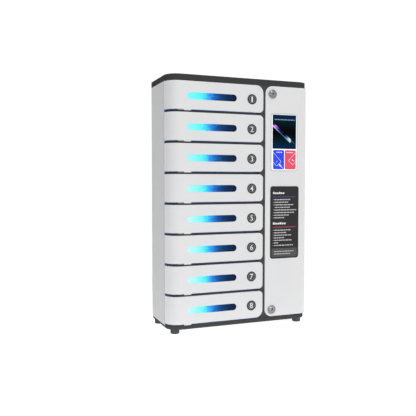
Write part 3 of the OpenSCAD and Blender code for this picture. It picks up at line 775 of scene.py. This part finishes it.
# Shares of the plate's height, from its top, and of its width, from its left edge
TEXT_LEFT, NUMBER_W, RULE_RIGHT = 0.095, 0.045, 0.89
UPPER_LINES = (0.70, 0.63, 0.81, 0.69, 0.92, 0.84, 0.66, 0.54)
LOWER_LINES = (0.72, 0.56, 0.74, 0.49, 0.80, 0.28, 0.81)


def instruction_plate():
    """Two headed blocks of generic bars in place of text, with rules and a footer panel."""
    low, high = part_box("instruction_plate")
    left, top, wide, tall = low.x, high.z, high.x - low.x, high.z - low.z
    face = low.y
    rng = random.Random(11)
    # The plate's print, headings and rules glow a little: painted light on unlit print.
    light = printed("plate_print", srgb(190, 190, 190), 0.12)
    bold = printed("plate_heading", srgb(226, 226, 226), 0.1)
    bars, headings = [], []

    def across(share):
        return left + share * wide

    def heading(share, right):
        middle = top - share * tall
        x, step = across(TEXT_LEFT), (across(right) - across(TEXT_LEFT)) / 6
        for i in range(6):
            height = 6.2 * MM if i % 3 == 0 else 4.6 * MM
            headings.append(rounded_outline(x + i * step, middle - 2.6 * MM,
                                            x + (i + 0.84) * step, middle - 2.6 * MM + height,
                                            0.9 * MM, 3))

    def block(first, pitch, ends, indented):
        for i, right in enumerate(ends):
            middle = top - first * tall - i * pitch * MM
            start = TEXT_LEFT + (NUMBER_W + 0.015 if i in indented else 0)
            if i not in indented:
                bars.append(rounded_outline(across(start), middle - 0.9 * MM,
                                            across(start) + 1.9 * MM, middle + 0.9 * MM,
                                            0.6 * MM, 3))
                start += NUMBER_W
            bars.extend(word_bars(rng, across(start), across(right), middle, 2.9 * MM, (4, 11)))

    heading(0.095, 0.50)
    block(0.185, 7.6, UPPER_LINES, (3,))
    heading(0.515, 0.556)
    block(0.607, 7.5, LOWER_LINES, ())
    plates("plate_lines", bars, face, light, "service")
    plates("plate_headings", headings, face, bold, "service")
    rules = (("blue", 0.1465, srgb(74, 82, 142)), ("red", 0.5655, srgb(176, 78, 88)))
    for name, share, color in rules:
        middle = top - share * tall
        rule = rounded_outline(across(TEXT_LEFT), middle - 1.1 * MM, across(RULE_RIGHT),
                               middle + 1.1 * MM, 0.5 * MM, 3)
        plates(f"plate_rule_{name}", [rule], face, printed(f"rule_{name}", color, 0.05),
               "service")
    footer = rounded_outline(across(0.05), low.z + 0.02 * tall, across(0.95),
                             low.z + 0.142 * tall, 4 * MM, 6)
    plates("plate_footer", [footer], face, printed("plate_footer", srgb(88, 87, 87)), "service")
    notes = word_bars(rng, across(0.14), across(0.83), low.z + 0.098 * tall, 2.4 * MM, (4, 11))
    notes += word_bars(rng, across(0.14), across(0.71), low.z + 0.063 * tall, 2.4 * MM, (4, 11))
    plates("plate_notes", notes, face, light, "service", 2)


# ---- Key locks ----

def lock_details():
    """Turned groove and notch on each key lock's head, drawn flat in darker metal that paints
    their shade; a white dot that is a painted highlight; and the keyway in its plug, whose dark
    grey is painted shade in the slot.
    """
    groove = brushed("lock_groove", srgb(112, 112, 114), (900, 30, 900), 0.4)
    dark = rubber("keyway_dark", srgb(58, 58, 60))
    painted_glint = smooth_plastic("lock_painted_glint_white", srgb(250, 250, 250), 0.3)
    low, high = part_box("lock_barrels")
    radius = NUT_ACROSS / 2
    for name in ("top", "bottom"):
        plug_low, plug_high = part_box(f"lock_plug_{name}")
        cx = (low.x + high.x) / 2
        cz = high.z - radius if name == "top" else low.z + radius
        face = plug_low.y

        # The groove and the notch are drawn flat; their darker grey is painted shade in the groove
        # and the notch.
        def head(bm):
            add_ring(bm, cx, cz, HEAD_RADIUS * 0.66, HEAD_RADIUS * 0.74, low.y - 0.05 * MM,
                     low.y + 0.05 * MM)
            add_plate(bm, rounded_outline(cx - 0.8 * MM, cz + HEAD_RADIUS * 0.78, cx + 0.8 * MM,
                                          cz + HEAD_RADIUS * 0.93, 0.6 * MM, 4),
                      low.y - 0.05 * MM, low.y + 0.05 * MM)

        # The keyway is real; its dark grey is painted shade in the slot, and the plate sits right
        # of the middle where the plug's shaded side shows.
        def keyway(bm):
            lean = math.radians(33)
            slot = rounded_outline(-1.7 * MM, -4.4 * MM, 1.7 * MM, 4.4 * MM, 1 * MM, 4)
            add_plate(bm, [(cx + 1.2 * MM + x * math.cos(lean) + z * math.sin(lean),
                            cz - x * math.sin(lean) + z * math.cos(lean)) for x, z in slot],
                      face - 0.06 * MM, face + 0.3 * MM)

        # White dome at the upper left of the head: a painted highlight where light glints on the
        # lock.
        def index_dot(bm):
            add_dome(bm, cx - 5 * MM, cz + 7 * MM, 2.1 * MM, low.y - 0.25 * MM, low.y + 0.05 * MM)
        finished(f"lock_groove_{name}", mesh_from(f"lock_groove_{name}", head), groove,
                 "service")
        finished(f"lock_painted_glint_{name}", mesh_from(f"lock_painted_glint_{name}", index_dot), painted_glint,
                 "service")
        finished(f"keyway_{name}", mesh_from(f"keyway_{name}", keyway), dark,
                 f"key_plug_{name}")


# ---- Camera, light and floor ----

def camera():
    data = bpy.data.cameras.new("camera")
    data.sensor_width = 36
    data.lens = 48.71
    holder = bpy.data.objects.new("camera", data)
    holder.location = (-0.6759, -1.5478, 0.4269)
    turn, dip = math.radians(21.33), math.radians(2.74)
    forward = Vector((math.sin(turn) * math.cos(dip), math.cos(turn) * math.cos(dip),
                      -math.sin(dip)))
    holder.rotation_euler = forward.to_track_quat("-Z", "Y").to_euler()
    bpy.context.scene.collection.objects.link(holder)
    bpy.context.scene.camera = holder


def studio():
    """White surroundings, dimmer on the left and brighter overhead, and a pale floor that glows
    most under and near the cabinet: a painted pool of light that fills the cabinet's shadow.
    """
    scene = bpy.context.scene
    scene.view_settings.view_transform = "Standard"
    world = bpy.data.worlds.new("studio")
    scene.world = world
    world.use_nodes = True
    tree = world.node_tree
    links, nodes = tree.links, tree.nodes
    place = nodes.new("ShaderNodeTexCoord")
    split = nodes.new("ShaderNodeSeparateXYZ")
    links.new(place.outputs["Generated"], split.inputs[0])

    def level(socket, low, high, to_low, to_high):
        node = nodes.new("ShaderNodeMapRange")
        node.interpolation_type = "SMOOTHSTEP"
        for key, value in (("From Min", low), ("From Max", high), ("To Min", to_low),
                           ("To Max", to_high)):
            node.inputs[key].default_value = value
        links.new(socket, node.inputs["Value"])
        return node.outputs[0]

    def join(operation, a, b):
        node = nodes.new("ShaderNodeMath")
        node.operation = operation
        links.new(a, node.inputs[0])
        links.new(b, node.inputs[1])
        return node.outputs[0]

    left = level(split.outputs[0], -0.87, -0.3, 0.02, 1.0)
    right = level(split.outputs[0], 0.1, 0.9, 1.0, 0.5)
    behind = level(split.outputs[1], 0.0, 0.5, 0.0, 1.0)
    front = level(split.outputs[1], -0.6, 0.1, 0.97, 1.05)
    top = level(split.outputs[2], 0.2, 0.9, 1.0, 1.4)
    right = join("MAXIMUM", right, behind)
    light = join("MULTIPLY", join("MULTIPLY", left, right), join("MULTIPLY", front, top))
    seen = nodes.new("ShaderNodeLightPath").outputs["Is Camera Ray"]
    links.new(join("MAXIMUM", light, seen), nodes["Background"].inputs["Strength"])
    nodes["Background"].inputs["Color"].default_value = (1, 1, 1, 1)

    floor_mesh = mesh_from("floor", lambda bm: bmesh.ops.create_circle(
        bm, cap_ends=True, segments=96, radius=14))
    floor = bpy.data.objects.new("floor", floor_mesh)
    bpy.context.scene.collection.objects.link(floor)
    f = Finish("floor")
    paint = f.mix(f.noise(1.5, 3), srgb(246, 246, 246), srgb(250, 250, 250))
    # The floor's glow, strongest under the cabinet and in a patch centred to its left, is painted
    # light that takes out the cabinet's shadow and brightens its lower panels.
    away = f.add("ShaderNodeVectorMath", {0: f.place, 1: (-0.3, 0, 0)},
                 operation="DISTANCE").outputs["Value"]
    x, y, z = f.axes()
    beyond = [f.math("MAXIMUM", f.math("SUBTRACT", f.math("ABSOLUTE", way), reach), 0.0)
              for way, reach in ((x, cad_box[1].x), (y, cad_box[1].y))]
    under = f.step(f.math("ADD", *beyond), 0.0, 0.045, 0.72, 0.0)
    f.shade({"Base Color": paint, "Roughness": 0.9, "Specular IOR Level": 0.1,
             "Emission Color": paint,
             "Emission Strength": f.math("ADD", under, f.step(away, 0.25, 0.85, 0.36, 0.08))})
    floor_mesh.materials.append(f.material)


camera()
finish_nodes()
badge_details()
door_edges()
display()
instruction_plate()
lock_details()
studio()
